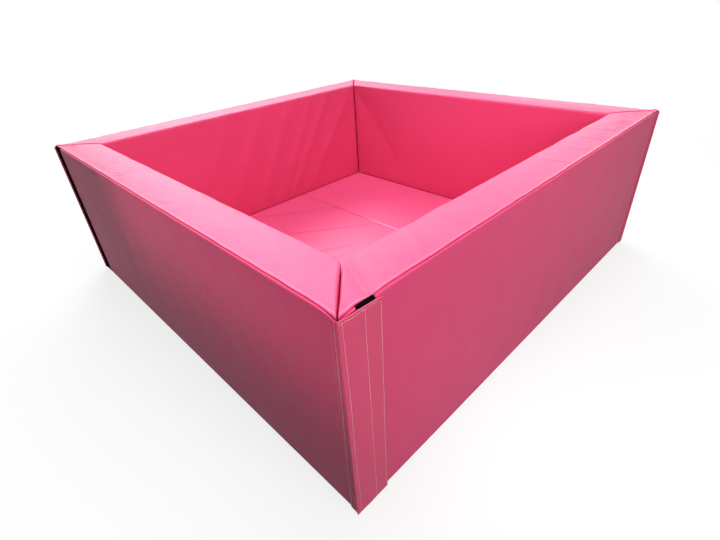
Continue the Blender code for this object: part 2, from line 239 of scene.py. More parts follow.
# %% Tapes, thread, zips and foam
def fuzzy(name, dark, light, size, depth):
    """A tape of loops or hooks: dots of its size that rise from a dark ground and never shine."""
    made = Finish(name)
    dots = made.add("ShaderNodeTexVoronoi", sockets={"Vector": made.places, "Scale": 1.0 / size})
    tufts = 1 - dots
    return made.finish(
        base_color=made.blend(tufts * 0.6, dark, light),
        roughness=made.noise(size * 3) * 0.1 + 0.82,
        normal=made.bump(tufts, depth, 0.8),
        specular_ior_level=0.0,
    )


def plain(name, shade, roughness, size, depth):
    """A matt or polished stuff of one colour with a little unevenness of the given size."""
    made = Finish(name)
    lumps = made.noise(size, 3.0)
    return made.finish(
        base_color=made.blend(lumps * 0.35, shade, darker(shade, 0.8)),
        roughness=lumps * 0.1 + roughness,
        normal=made.bump(lumps, depth, 0.6),
    )


def ribbed(name, shade, rib, depth):
    """Ribs along X and Y alike, as on a woven tape or a zip's teeth, by sines of the place."""
    made = Finish(name)
    x, y = (made.add("ShaderNodeSeparateXYZ", sockets={0: made.places}, output=axis) for axis in (0, 1))
    turn = 2 * math.pi / rib
    ribs = (x * turn).math("SINE") + (y * turn).math("SINE")
    return made.finish(
        base_color=made.blend(ribs * 0.12 + 0.5, darker(shade, 0.7), shade),
        roughness=0.75,
        normal=made.bump(ribs, depth, 0.7),
    )


loop_black = fuzzy("loop_tape", colour(5, 5, 6), colour(20, 19, 21), 0.0009, 0.0003)
hook_black = fuzzy("hook_tape", colour(12, 12, 13), colour(40, 39, 42), 0.0014, 0.0005)
threads = {"cream": colour(243, 206, 190), "grey": colour(205, 200, 198), "pink": colour(196, 38, 78)}
threads = {name: plain(f"{name}_thread", shade, 0.6, 0.0004, 0.00008) for name, shade in threads.items()}
zip_woven = ribbed("zip_tape", colour(176, 34, 74), 0.0016, 0.00025)
slider_plastic = plain("zip_slider", colour(30, 28, 30), 0.38, 0.004, 0.00005)
foam_cells = plain("foam", colour(232, 226, 206), 0.92, 0.0016, 0.0005)
print("materials:", len(bpy.data.materials))

# %% [markdown]
# ## Surfaces from arrays
# Every soft piece is a grid of points: one count goes round the piece and the other along it. The grid
# becomes a mesh in one step, so a shape is only a question of where each point goes, and that can be said
# in a formula.

# %% Grids into meshes
def vectors(*parts):
    """Points or directions from their parts, which may be of any shapes that broadcast together."""
    return np.stack(np.broadcast_arrays(*parts), axis=-1)


def unit(directions):
    """The same directions, 1 long."""
    return directions / np.linalg.norm(directions, axis=-1, keepdims=True)


def gone_along(path):
    """How far each point of a path is from its first one, along it."""
    return np.concatenate([[0.0], np.cumsum(np.linalg.norm(np.diff(path, axis=0), axis=1))])


def mesh_piece(name, points, faces, material):
    """A smooth mesh in the scene, from its points and faces."""
    mesh = bpy.data.meshes.new(name)
    mesh.from_pydata(points, [], faces)
    mesh.shade_smooth()
    mesh.materials.append(material)
    piece = bpy.data.objects.new(name, mesh)
    bpy.context.scene.collection.objects.link(piece)
    return piece


def dress(piece, body, node):
    """Lets a piece ride on a body in the place of a plain solid."""
    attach(piece, body)
    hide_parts(node)


def closed_skin(name, grid, material, painted_light_and_dirt=None):
    """A closed body from a grid of points (along, round, 3): rows join into bands, and both ends are capped.

    The last argument, one number a point, goes with it as the attribute by which the vinyl is darkened with
    dirt and painted shade and paled with a painted highlight.
    """
    rows, count = grid.shape[:2]
    index = np.arange(rows * count).reshape(rows, count)
    after = np.roll(index, -1, axis=1)
    bands = np.stack([index[:-1], after[:-1], after[1:], index[1:]], axis=-1).reshape(-1, 4)
    centre, ahead = grid[rows // 2].mean(0), grid[rows // 2 + 1].mean(0)
    spokes = grid[rows // 2] - centre
    faces = bands.tolist() + [index[0, ::-1].tolist(), index[-1].tolist()]
    if np.cross(spokes, np.roll(spokes, -1, axis=0)).sum(0) @ (ahead - centre) < 0:
        faces = [face[::-1] for face in faces]
    piece = mesh_piece(name, grid.reshape(-1, 3).tolist(), faces, material)
    if painted_light_and_dirt is not None:
        painted = piece.data.attributes.new("painted_light_and_dirt", "FLOAT", "POINT")
        painted.data.foreach_set("value", painted_light_and_dirt.reshape(-1).tolist())
    return piece


def turn_to_wall(points, wall):
    """From a wall's frame (along, inwards, up) to the pit's, by a quarter turn for each wall past the front."""
    cos, sin = ((1, 0), (0, 1), (-1, 0), (0, -1))[WALLS.index(wall)]
    x, y = points[..., 0], points[..., 1] - PIT / 2
    return vectors(cos * x - sin * y, sin * x + cos * y, points[..., 2])


def wall_out(wall, out):
    """Directions in a wall's own frame turned to the pit's."""
    return turn_to_wall(out, wall) - turn_to_wall(np.zeros(3), wall)


ARC_STEPS = 16
ARC_ENDS = [corner * ARC_STEPS + end for corner in range(4) for end in (0, ARC_STEPS - 1)]


def rounded_line(low, high, radii):
    """A rectangle with rounded corners as a closed line from the start of its lower left corner, anticlockwise.

    Returns its points, the directions that face out, and how far along it each is, with the first repeated.
    """
    points, facing = [], []
    for corner, radius in enumerate(radii):
        centre = (
            high[0] - radius if corner in (1, 2) else low[0] + radius,
            high[1] - radius if corner in (2, 3) else low[1] + radius,
        )
        turns = math.pi * (1 + corner / 2) + np.linspace(0, math.pi / 2, ARC_STEPS)
        out = vectors(np.cos(turns), np.sin(turns))
        points.append(np.array(centre) + radius * out)
        facing.append(out)
    points, facing = np.concatenate(points), np.concatenate(facing)
    points, facing = np.vstack([points, points[:1]]), np.vstack([facing, facing[:1]])
    return points, facing, gone_along(points)


def read_line(line, where):
    """Across and up of the points at distances along a line, then of the directions that face out there."""
    points, facing, gone = line
    return [np.interp(where, gone, column) for column in (*points.T, *facing.T)]


def spaced(length, fine_at, fine, coarse, ease):
    """Distances along a line of this length, finely spaced near each stretch and coarsely far from it."""
    dense = np.linspace(0, length, 20000)
    away = np.min([np.maximum(np.maximum(low - dense, dense - high), 0) for low, high in fine_at], axis=0)
    gap = fine + (coarse - fine) * np.clip(away / ease, 0, 1)
    count = np.concatenate([[0.0], np.cumsum(0.5 * (1 / gap[1:] + 1 / gap[:-1]) * np.diff(dense))])
    return np.interp(np.arange(int(count[-1])) * count[-1] / int(count[-1]), count, dense)


line_length = rounded_line((0, 0), (THICKNESS, HEIGHT), [0.01] * 4)[2][-1]
print("a line round a wall is", round(line_length, 3), "m long")

# %% Soft shapes: bulges, ripples and creases
def rise(share):
    """0 below 0, 1 above 1 and an S between."""
    share = np.clip(share, 0, 1)
    return share * share * (3 - 2 * share)


def bulge(place, span, power):
    """1 in the middle of a span that starts at 0, and 0 at its ends and beyond."""
    return np.clip(1 - np.abs(2 * place / span - 1) ** power, 0, 1)


def ridge(away, width):
    """A bell: 1 where away is 0, and nearly 0 at twice the width."""
    return np.exp(-((away / width) ** 2))


RIPPLES = 7


def ripples(x, y, size, seed):
    """Gentle unevenness, about -1 to 1: cosines of about this wavelength that run in seeded directions."""
    dice = np.random.default_rng(seed)
    drawn = [dice.uniform(low, high, RIPPLES) for low, high in ((0, math.pi), (0, 6.28), (0.7, 1.5))]
    total = 0.0
    for turn, phase, stretch in zip(*drawn):
        gone = x * math.cos(turn) + y * math.sin(turn)
        total = total + np.cos(2 * math.pi * gone / (size * stretch) + phase)
    return total / math.sqrt(RIPPLES)


def creases(x, y, marks):
    """Folds given one by one, each from (x0, y0) to (x1, y1) with a width and a height that fades to its ends.

    Marks are in millimetres and so is the sum of heights, or they say a share. Across a fold the height falls
    as exp(-|distance / width| ** power): 2 is a round fold, 1 a sharp one.
    """
    x, y = x * 1000, y * 1000
    total = np.zeros(np.broadcast(x, y).shape)
    for x0, y0, x1, y1, width, height, power in marks:
        run = math.hypot(x1 - x0, y1 - y0)
        along = ((x - x0) * (x1 - x0) + (y - y0) * (y1 - y0)) / run**2
        aside = ((x - x0) * (y1 - y0) - (y - y0) * (x1 - x0)) / run
        fade = np.sqrt(np.clip(4 * along * (1 - along), 0, 1))
        total += height * np.exp(-np.abs(aside / width) ** power) * fade
    return total


print("ripples go down to", np.round(ripples(np.linspace(0, 5, 999), 0, 0.2, 1).min(), 2))

# %% [markdown]
# ## The walls
# A wall is a long block of foam with mitred ends, and its cover is sewn from panels. A block that is only
# rounded would look like painted wood. What tells a cover from it is small: the top swells between its
# seams, the seam near the outer edge pulls in a groove with a ridge beside it, and the cloth puckers where
# the thread holds it short.

# %% The outline of a wall, and where its seams lie on it
def fine_stretches(ends, middle):
    """The stretches of an outline that need close points: its arcs, and the two edges of the groove below."""
    edges = [middle + side * GROOVE_WIDTH / 2 for side in (-1, 1)]
    return list(zip(ends[::2], ends[1::2])) + [(edge - 0.001, edge + 0.001) for edge in edges]


wall_line = rounded_line(
    (0.0, 0.0), (THICKNESS, HEIGHT), (BOTTOM_RADIUS, BOTTOM_RADIUS, TOP_INNER_RADIUS, TOP_OUTER_RADIUS)
)
WALL_ROUND = float(wall_line[2][-1])
arc_ends = wall_line[2][ARC_ENDS]
TOP_SEAM = float(arc_ends[6])
FLOOR_SEAM = WALL_ROUND - 0.004
MAT_LINE = float(arc_ends[3]) + MAT_THICKNESS - BOTTOM_RADIUS
fine_at = fine_stretches(arc_ends, float(arc_ends[1]) + THICKNESS / 2 - BOTTOM_RADIUS)
fine_at += [(TOP_SEAM - 0.012, TOP_SEAM), (FLOOR_SEAM - 0.006, WALL_ROUND)]
fine_at += [(MAT_LINE - 0.007, MAT_LINE + 0.007)]
sharp_at = np.arange(TOP_SEAM - 0.0030, TOP_SEAM + 0.0031, 0.0005)
round_wall = spaced(WALL_ROUND, fine_at, 0.0012, 0.0120, 0.05)
round_wall = np.sort(np.concatenate([round_wall[np.abs(round_wall - TOP_SEAM) > 0.0036], sharp_at]))
print("points round a wall:", len(round_wall), "top seam at", round(TOP_SEAM, 4))

# %% The relief of one wall's cover
# Creases, as seen in the photograph where it shows them: both ends (along from the wall's middle, and across on
# a top or up on a face), width, height and power, in millimetres.
WALL_CREASES = {}
WALL_CREASES["back_wall", "inner"] = (
    (-755, 620, -300, 50, 60, 8, 1),
    (-560, 640, -150, 20, 24, 3.6, 2),
    (-430, 640, -80, 20, 28, 3.4, 2),
    (-270, 640, 60, 40, 34, 3.8, 2),
    (-80, 640, 200, 160, 40, 3.2, 2),
    (120, 620, 400, 220, 40, 2, 2),
    (-775, 560, -690, 120, 30, 1.8, 2),
)
WALL_CREASES["right_wall", "inner"] = (
    (770, 630, 330, 110, 60, -6, 1),
    (735, 560, 640, 100, 40, 2.6, 2),
    (560, 600, 200, 250, 50, 1.8, 2),
    (330, 600, 60, 300, 50, 1.4, 2),
)
WALL_CREASES["left_wall", "outer"] = (
    (-20, 500, 130, 300, 10, 0.8, 2),
    (240, 520, 320, 270, 10, 0.9, 2),
    (490, 520, 560, 360, 10, 0.7, 2),
    (-110, 360, 60, 160, 11, 0.8, 2),
    (-620, 462, 600, 510, 10, -0.9, 1),
    (330, 430, 430, 180, 12, 0.8, 2),
    (-330, 340, -160, 120, 14, 0.9, 2),
)
WALL_CREASES["front_wall", "top"] = (
    (-742, 160, -820, -5, 18, -9.5, 1.3),
    (-655, 150, -715, 5, 12, 1.7, 2),
    (-560, 135, -640, 5, 12, 1.5, 2),
    (-430, 120, -450, 10, 16, 0.8, 2),
    (-230, 80, -270, 5, 10, 1.3, 2),
    (70, 110, 95, 5, 10, 1.2, 2),
    (230, 120, 250, 20, 12, 0.8, 2),
    (370, 128, 380, 40, 12, 1.3, 2),
    (505, 125, 520, 5, 12, 1.5, 2),
    (610, 125, 630, 15, 12, 1.3, 2),
)
WALL_CREASES["left_wall", "top"] = (
    (400, 40, 500, 110, 10, 1, 2),
    (80, 25, 170, 60, 8, 0.9, 2),
    (748, 150, 790, 40, 16, -1.6, 2),
    (640, 20, 700, 120, 14, 0.9, 2),
)


SEAM_SHIFT, SEAM_WIDTH = 0.0060, 0.0021


def seam_groove(along, gone, seed):
    """The top seam's V-shaped groove, 1 at its bottom and 0 at its edges, and how far inwards of it a place is.

    The seam wavers, and moves outwards round the rounded edge as it runs into a corner.
    """
    seam = TOP_SEAM + SEAM_SHIFT * (1 - rise((PIT / 2 - np.abs(along)) / 0.060))
    inwards = seam + 0.0003 * ripples(along, 0, 0.09, seed + 6) - gone
    return np.clip(1 - np.abs(inwards) / SEAM_WIDTH, 0, 1), inwards


def fine_wrinkles(wall, along, across):
    """Short slanting wrinkles on a top, where the thread drew the cloth in: ripples across it at an angle."""
    seed = 17 * (WALLS.index(wall) + 2)
    lean = {"left_wall": 1.0, "front_wall": -0.25, "back_wall": 0.4, "right_wall": -0.5}[wall]
    far = 0.25
    if wall == "left_wall":
        far = rise((0.45 - along) / 0.7)
    elif wall == "front_wall":
        far = rise(along + 0.3)
    turned = (along * 0.42 - across * 0.91) if lean > 0 else (along * 0.95 + across * 0.25)
    waves = 0.6 * np.cos(2 * math.pi * turned / 0.0175 + 2.2 * ripples(along, across, 0.16, seed))
    waves = waves + 0.4 * ripples(along * 1.3 - across * 1.6 * lean, across, 0.034, seed + 1)
    patchy = 0.55 + 0.45 * ripples(along, across * 1.5, 0.13, seed + 2)
    across_fade = rise((across - 0.012) / 0.02) * rise((THICKNESS - 0.015 - across) / 0.05)
    return 0.00135 * waves * np.clip(patchy, 0, 1.4) * far * across_fade


RELIEF_SEED = dict(zip(WALLS, (11, 22, 33, 44)))
SWELL_OUTSIDE, SWELL_INSIDE, SWELL_ON_TOP = 0.0020, 0.0025, 0.0040
SEAM_DEPTH, SEAM_RIDGE, RIDGE_INWARDS = 0.0026, 0.0014, 0.0046
CORNER_EAR = 0.0060


def wall_relief(wall, along, across, up, gone):
    """How far the cover stands out from the plain outline: swell, seam, puckers, broad ripples and creases."""
    seed = RELIEF_SEED[wall]
    outer, inner = across < THICKNESS / 2, across >= THICKNESS / 2
    top_face = rise((up - (HEIGHT - 0.009)) / 0.008)
    stuffed = bulge(up, HEIGHT, 4)
    from_corner = PIT / 2 - np.abs(along)
    height = SWELL_OUTSIDE * stuffed * outer * rise((from_corner - 0.120) / 0.200)
    inside = PIT - 2 * THICKNESS
    height += SWELL_INSIDE * stuffed * inner * bulge(along + inside / 2, inside, 4)
    height += SWELL_ON_TOP * top_face * bulge(across, THICKNESS, 2)
    # Top seam: a groove, a ridge on its inner side, and puckers that run inwards from it and die away.
    groove, inwards = seam_groove(along, gone, seed)
    puckers = ripples(along + across * 0.7, across * 0.3, 0.019, seed)
    puckers = puckers * np.exp(-np.clip(inwards, 0, None) / 0.016) * rise(inwards / 0.003) * top_face
    height -= SEAM_DEPTH * groove
    crest = SEAM_RIDGE + 0.0003 * ripples(along, 0, 0.05, seed + 1)
    height += crest * ridge(inwards - RIDGE_INWARDS, 0.0028) + 0.0005 * ridge(inwards + 0.0030, 0.0024)
    height += 0.00035 * puckers + fine_wrinkles(wall, along, across) * top_face
    # The mitred ends: the cloth's spare corners stand up a little.
    height += CORNER_EAR * ridge(from_corner - across, 0.014) * top_face * ridge(across - 0.004, 0.024)
    # Floor seam, and the faces' own unevenness, which is gentlest where the cover lies on the floor.
    height -= 0.0008 * ridge(gone - FLOOR_SEAM, 0.0014)
    calm = rise((up - 0.01) / 0.05)
    waves = 0.00050 * ripples(along, up + across, 0.17, seed + 2)
    waves += 0.00012 * ripples(along, up + across, 0.055, seed + 3)
    flapless = 1 - outer * (1 - rise((from_corner - 0.110) / 0.050))
    height += waves * calm * (0.15 + 0.85 * flapless)
    side = (1 - top_face) * calm
    faces = {"top": (across, top_face), "outer": (up, outer * side * flapless), "inner": (up, inner * side)}
    for face, (where, share) in faces.items():
        height += MM * creases(along, where, WALL_CREASES.get((wall, face), ())) * share
    return height


on_top = np.array([[0.1], [0.07], [HEIGHT], [TOP_SEAM - 0.06]])
print("relief in the middle of a top:", round(float(wall_relief("front_wall", *on_top)[0]), 4))

# %% Covers and foam
def rounded_ends(steps, rows, crowding=1.0):
    """For the rows along a piece: a share of its half length from -1 to 1, and how far each goes back and in.

    The ends are rounded off by steps rows each: with radius r, such a row goes back by r(1 - cos a) and in by
    r(1 - sin a). Crowding below 1 brings the other rows nearer to the ends.
    """
    turns = np.linspace(0, math.pi / 2, steps)
    fans = np.linspace(-1, 1, rows)[1:-1]
    fans = np.sign(fans) * np.abs(fans) ** crowding
    back, draw = 1 - np.cos(turns), 1 - np.sin(turns)
    columns = (
        (-np.ones(steps), fans, np.ones(steps)),
        (back, np.ones(len(fans)), back[::-1]),
        (draw, np.zeros(len(fans)), draw[::-1]),
    )
    return (np.concatenate(column)[:, None] for column in columns)


ON_FLOOR = -0.999


def zip_groove(aside, along, half):
    """How high a zip's groove is at a place on an underside, less than 0, where half the zip is this long."""
    inside = rise((GROOVE_WIDTH / 2 + 0.0005 - np.abs(aside)) / 0.001)
    return -GROOVE_DEPTH * (inside * rise((half + 0.001 - np.abs(along)) / 0.001))


def wall_grid(wall, rows, where, inset=0.0):
    """A wall's points: the outline swept between two 45 degree mitres, with its ends rounded off.

    Inset, it is the plain block inside the cover, and else it has the cover's relief.
    """
    across, up, out_across, out_up = read_line(wall_line, where)
    reach = 0.0045 + 0.0035 * rise(across / 0.05)
    fan, back, draw = rounded_ends(8, rows, 0.9)
    depth, drawn = back * reach + inset, draw * reach + inset
    across, up = across - out_across * drawn, up - out_up * drawn
    half = PIT / 2 - (MITRE_GAP / 2 + depth) * math.sqrt(2)
    along = fan * (half - across)
    if not inset:
        height = wall_relief(wall, along, across, up, where[None, :]) * (0.25 + 0.75 * rise(1 - draw))
        groove = zip_groove(across - THICKNESS / 2, along, WALL_ZIP_HALF)
        height = np.where(out_up < ON_FLOOR, groove, height)
        across, up = across + out_across * height, up + out_up * height
        along = fan * (half - across)
    return vectors(along, across, up)


WALL_ROWS, FOAM_ROWS, FOAM_POINTS = 320, 9, 60
# How strongly a painted highlight pales each wall's seam ridge.
PALE_RIDGE = {"front_wall": 0.45, "right_wall": 0.30}
# Painted shade in the front wall's two corner folds, as marks whose height is how much darker they are.
CORNER_FOLDS = (
    (-742, 160, -816, -5, 12, 0.16, 1.5),
    (-655, 140, -725, 5, 12, 0.05, 1.5),
)
core_line = np.linspace(0, WALL_ROUND, FOAM_POINTS, endpoint=False)


def add_block(owner, skin, material, dirt_and_painted_light, block):
    """A cover with its foam block inside, both on the same body."""
    cover = closed_skin(f"{owner}_vinyl", skin, material, dirt_and_painted_light)
    dress(cover, owner, f"{owner}_cover")
    dress(closed_skin(f"{owner}_foam", block, foam_cells), owner, f"{owner}_foam_core")
    print(cover.name, len(cover.data.polygons), "faces")


for wall in WALLS:
    shape = wall_grid(wall, WALL_ROWS, round_wall)
    groove, inwards = seam_groove(shape[..., 0], round_wall[None, :], RELIEF_SEED[wall])
    # Dirt and painted shade darken the top seam's groove, and a painted highlight pales the ridge beside it.
    pale = PALE_RIDGE.get(wall, 0.15) * (0.25 + 0.75 * rise((shape[..., 0] + 0.5) / 0.9))
    dirt_and_painted_light = np.clip(1.4 * groove, 0, 0.9) - pale * ridge(inwards - RIDGE_INWARDS, 0.0017)
    # The front wall's corner folds get painted shade.
    if wall == "front_wall":
        dirt_and_painted_light = dirt_and_painted_light + creases(shape[..., 0], shape[..., 1], CORNER_FOLDS) * (shape[..., 2] > HEIGHT - 0.015)
    # A painted shadow along the inner face where the mat meets it.
    mat_contact_shadow = 0.40 * ridge(shape[..., 2] - MAT_THICKNESS, 0.004) * (shape[..., 1] > THICKNESS / 2)
    block = turn_to_wall(wall_grid(wall, FOAM_ROWS, core_line, WALL_FOAM_INSET), wall)
    add_block(wall, turn_to_wall(shape, wall), pink_vinyl, dirt_and_painted_light + mat_contact_shadow, block)

# %% [markdown]
# ## Where a sheet lies on a wall
# Flaps, tapes and stitches lie on the covers, so they need the covers' own height. The function below gives
# the distance that a cover stands out at any place on its outer face, from the same formula that made the
# cover, and a sheet laid by it follows each swell without touching.

# %% Heights on the outer face, and small shared makers
def outer_height(wall, along, up):
    """How far the outer face stands out of its plane at a place: its relief, far from the top seam."""
    return wall_relief(wall, along, 0.0, up, TOP_SEAM + 1.0)


def sheet_grid(name, middle, thickness, material, facing):
    """A closed thin sheet from a grid of middle points (u, v, 3), thickened along facing, with rounded edges.

    Each row is a loop: out along the front, back along the rear, so that the sheet is one closed skin.
    """
    front, rear = middle + facing * thickness / 2, middle - facing * thickness / 2
    edges = np.broadcast_to(thickness, middle.shape[:2] + (1,))
    tips = []
    for edge, beside in ((0, 1), (-1, -2)):
        step = unit(middle[:, edge] - middle[:, beside])
        tips.append((middle[:, edge] + step * edges[:, edge] * 0.4)[:, None])
    return closed_skin(name, np.concatenate([front, tips[1], rear[:, ::-1], tips[0]], axis=1), material)


STITCH_SIDES = 5
STITCH_POINTS = 4 * STITCH_SIDES + 2


def stitches(name, runs, thick, material):
    """Thread that dips into the cloth at both ends of each stitch, from runs of (starts, ends, directions out).

    A stitch is a bent capsule of four rings and two tips. A ring's centre goes from start to end, raised by the
    sine of its share of the way, and its radius grows likewise.
    """
    starts, ends, facing = (np.concatenate(part) for part in zip(*runs))
    shares = np.array([0.04, 0.25, 0.75, 0.96])[:, None]
    swell = np.sin(shares * math.pi)
    across = unit(np.cross(ends - starts, facing))
    centres = starts[:, None] + (ends - starts)[:, None] * shares + facing[:, None] * swell * thick * 0.4
    turns = (np.arange(STITCH_SIDES) * 2 * math.pi / STITCH_SIDES)[:, None]
    spokes = across[:, None, None] * np.cos(turns) + facing[:, None, None] * np.sin(turns)
    radius = (thick / 2 * (0.45 + 0.55 * swell**0.5))[:, None]
    rings = (centres[:, :, None] + spokes * radius).reshape(len(starts), -1, 3)
    points = np.concatenate([rings, starts[:, None], ends[:, None]], axis=1)
    pairs = [(side, (side + 1) % STITCH_SIDES) for side in range(STITCH_SIDES)]
    rows = [row * STITCH_SIDES for row in range(5)]
    faces = [[k + a, after + a, after + b, k + b] for k, after in zip(rows[:3], rows[1:]) for a, b in pairs]
    faces += [[rows[4], a, b] for a, b in pairs] + [[rows[4] + 1, rows[3] + b, rows[3] + a] for a, b in pairs]
    corners = points[0][faces[0]]
    normal = np.cross(corners[1] - corners[0], corners[2] - corners[0])
    if normal @ (corners.mean(0) - centres[0].mean(0)) < 0:
        faces = [face[::-1] for face in faces]
    firsts = range(0, len(starts) * STITCH_POINTS, STITCH_POINTS)
    faces = [[first + corner for corner in face] for first in firsts for face in faces]
    return mesh_piece(name, points.reshape(-1, 3).tolist(), faces, material)


def seam_run(path, pitch, fill):
    """Starts and ends of stitches along a path of points: one each pitch, and fill of the pitch long."""
    gone = gone_along(path)
    begins = np.arange(int(gone[-1] / pitch)) * pitch
    places = (begins, begins + pitch * fill)
    return [vectors(*(np.interp(where, gone, column) for column in path.T)) for where in places]


print("outer face stands", round(float(outer_height("front_wall", 0.0, 0.3)) * 1000, 2), "mm out in the middle")

# %% [markdown]
# ## Seam strips, flaps and tapes
# Each wall's right end carries a flap of the same vinyl. It is sewn down along a strip on its own wall,
# bends round the corner and is pressed on to a black loop tape on the next wall. The flap is a thin sheet
# that turns about the corner's edge as one piece, so the strip and the flap are two sheets that meet in a
# bead at that edge.

# %% Layers at the corners, from the wall's face outwards
SHEET = 0.0014
TAPE = 0.0012
LOOP_OUT, HOOK_OUT, FLAP_OUT = 0.0009, 0.0024, 0.0040
STRIP_WIDTH = 0.024
LOOP_WIDTH = 0.050
LOOP_FROM_CORNER = dict.fromkeys(WALLS, 0.046) | {"left_wall": 0.014}
HOOK_WIDTH = 0.098
HOOK_FROM_EDGE, HOOK_HEM = 0.002, 0.010
HEM_ROLL = 0.0050
CORNER_ROW, MIDDLE_ROW = 0.009, 0.063
FLAP_CORNER = 0.004


def flap_edge(up):
    """How far the flap's free edge is from the corner: less low down, and with its two corners cut round."""
    share = (up - FLAP_LOW) / (FLAP_HIGH - FLAP_LOW)
    away = np.minimum(up - FLAP_LOW, FLAP_HIGH - up)
    left = FLAP_CORNER**2 - np.clip(FLAP_CORNER - away, 0, FLAP_CORNER) ** 2
    cut = FLAP_CORNER - np.sqrt(np.clip(left, 0, None))
    return FLAP_REACH_LOW + (FLAP_REACH - FLAP_REACH_LOW) * share - cut + 0.0004 * np.sin(up * 41 + 1)


def flap_drop(reach):
    """How much higher the flap's top edge is at the corner, and how much lower at the free end."""
    slope = 0.0020 * (1 - rise(reach / 0.030)) - 0.0034 * rise((reach - 0.070) / 0.045)
    return slope + 0.0003 * np.sin(reach * 160)


def flap_off(wall, reach, up):
    """How far the flap's middle is from the neighbour's face: waves only lift it, and its seams are dips."""
    seed = 40 + WALLS.index(wall)
    wave = 0.5 + 0.5 * ripples(reach * 2.2, up, 0.13, seed)
    wave = 0.00055 * wave + 0.00016 * ripples(reach, up, 0.035, seed + 5)
    lines = ridge(reach - CORNER_ROW, 0.0022) + ridge(reach - MIDDLE_ROW, 0.0025)
    lines = lines + ridge(flap_edge(up) - 0.003 - reach, 0.0020)
    lines = np.clip(lines + ridge(FLAP_HIGH - HEM_ROLL - up, 0.0022), 0, 1)
    lifted = 0.0012 * rise((reach - 0.098) / 0.012) * ridge(up - 0.12, 0.12)
    slack = (wave + 0.0003) * rise((reach - 0.020) / 0.020)
    return FLAP_OUT + lifted + slack - 0.0005 * lines * rise((reach - 0.004) / 0.004)


def flap_places(wall, reach, up, extra):
    """Points of a flap in the pit's frame and the way they face, from their reach from the corner and height.

    Shut, the flap lies along the neighbour's face. The back wall's flap is turned back by 270 degrees about the
    hinge line, which takes an offset (x, y) from that line to (-y, x).
    """
    reach, up = np.broadcast_arrays(reach, up)
    off = flap_off(wall, reach, up) + extra
    x = PIT / 2 + HINGE_OUT + (off - HINGE_OUT) * rise(reach / 0.006)
    y = reach - HINGE_OUT * (1 - rise(reach / 0.014))
    out = vectors(np.ones(reach.shape), 0.0, 0.0)
    up = up + flap_drop(reach) * rise((up - FLAP_HIGH + 0.040) / 0.040)
    if wall == "back_wall":
        x, y = PIT / 2 + HINGE_OUT - (y + HINGE_OUT), -HINGE_OUT + (x - PIT / 2 - HINGE_OUT)
        out = np.roll(out, 1, axis=-1)
    return turn_to_wall(vectors(x, y, up), wall), wall_out(wall, out)


print("flap reaches", flap_edge(np.array([0.1, 0.3, 0.5])).round(4))

# %% Flaps with the hook tape inside them
near_edge = HEM_ROLL * (1 - np.cos(np.linspace(0, math.pi / 2, 9)))
low, hemmed, top = FLAP_LOW + HEM_ROLL, FLAP_HIGH - 2 * HEM_ROLL, FLAP_HIGH - HEM_ROLL
flap_rise = [np.linspace(low, hemmed, 150)[:-1], np.linspace(hemmed, top, 8)[:-1]]
flap_rise = np.concatenate([FLAP_LOW + near_edge[:-1], *flap_rise, FLAP_HIGH - near_edge[::-1]])[:, None]
flap_share = spaced(FLAP_REACH, [(0, 0.012), (0.060, 0.066), (0.103, 0.110)], 0.0012, 0.0035, 0.01)
flap_share = np.append(flap_share, FLAP_REACH)[None, :] / FLAP_REACH
from_top = FLAP_HIGH - flap_rise
hem = 1 + 0.9 * ridge(from_top - 0.0022, 0.0020) - 0.55 * ridge(from_top, 0.0007)
hem_lift = 0.0006 * ridge(from_top - 0.002, 0.002)
for wall in WALLS:
    middle, out = flap_places(wall, flap_share * flap_edge(flap_rise), flap_rise, hem_lift)
    flap = sheet_grid(f"{wall}_flap_sheet", middle, SHEET * hem[..., None], flap_vinyl, out)
    dress(flap, f"{wall}_flap", f"{wall}_corner_flap")
    hook_rise = np.linspace(FLAP_LOW + HOOK_HEM, FLAP_HIGH - HOOK_HEM, 90)[:, None]
    hook_reach = flap_edge(hook_rise) - HOOK_FROM_EDGE - HOOK_WIDTH * (1 - np.linspace(0, 1, 34)[None, :])
    layer = HOOK_OUT - flap_off(wall, hook_reach, hook_rise)
    middle, out = flap_places(wall, hook_reach, hook_rise, np.minimum(layer + 0.00005, -0.0013))
    hook = sheet_grid(f"{wall}_hook_strip", middle, TAPE, hook_black, out)
    dress(hook, f"{wall}_flap", f"{wall}_hook_tape")
    print(flap.name, len(flap.data.polygons), "faces,", hook.name, len(hook.data.polygons))

# %% Seam strips, and the loop tapes that the flaps grip
def strip_off(wall, along, up):
    """How far the strip's middle is from its own wall's face, on the cover's swell."""
    lift = 0.00015 * (1 + ripples(along * 3, up, 0.09, 60 + WALLS.index(wall)))
    pressed = rise((along - PIT / 2 + STRIP_WIDTH) / 0.006)
    return 0.0003 + (0.0005 + lift) * pressed + outer_height(wall, along, up)


# A strip is flat for 20 mm from its inner edge and then bends round the corner.
strip_rise = np.linspace(FLAP_LOW, FLAP_HIGH - 0.006, 130)[:-1]
strip_rise = np.append(strip_rise, FLAP_HIGH - near_edge[::-1] * 1.2)[:, None]
strip_gone = np.append(np.linspace(0, 0.020, 14), np.linspace(0.0212, 0.0275, 10))[None, :]
bend = rise((strip_gone - 0.0195) / 0.008)
thin_edge = (0.25 + 0.75 * rise(strip_gone / 0.007))[..., None]
# A loop tape starts in the top seam and ends just above the floor seam.
TAPE_ROWS, TAPE_COLUMNS = 150, 26
tape_gone = np.linspace(TOP_SEAM + 0.0006, WALL_ROUND - 0.001, TAPE_ROWS)
TAPE_STITCH, TAPE_STITCH_FILL, TAPE_THREAD = 0.0042, 0.62, 0.0007

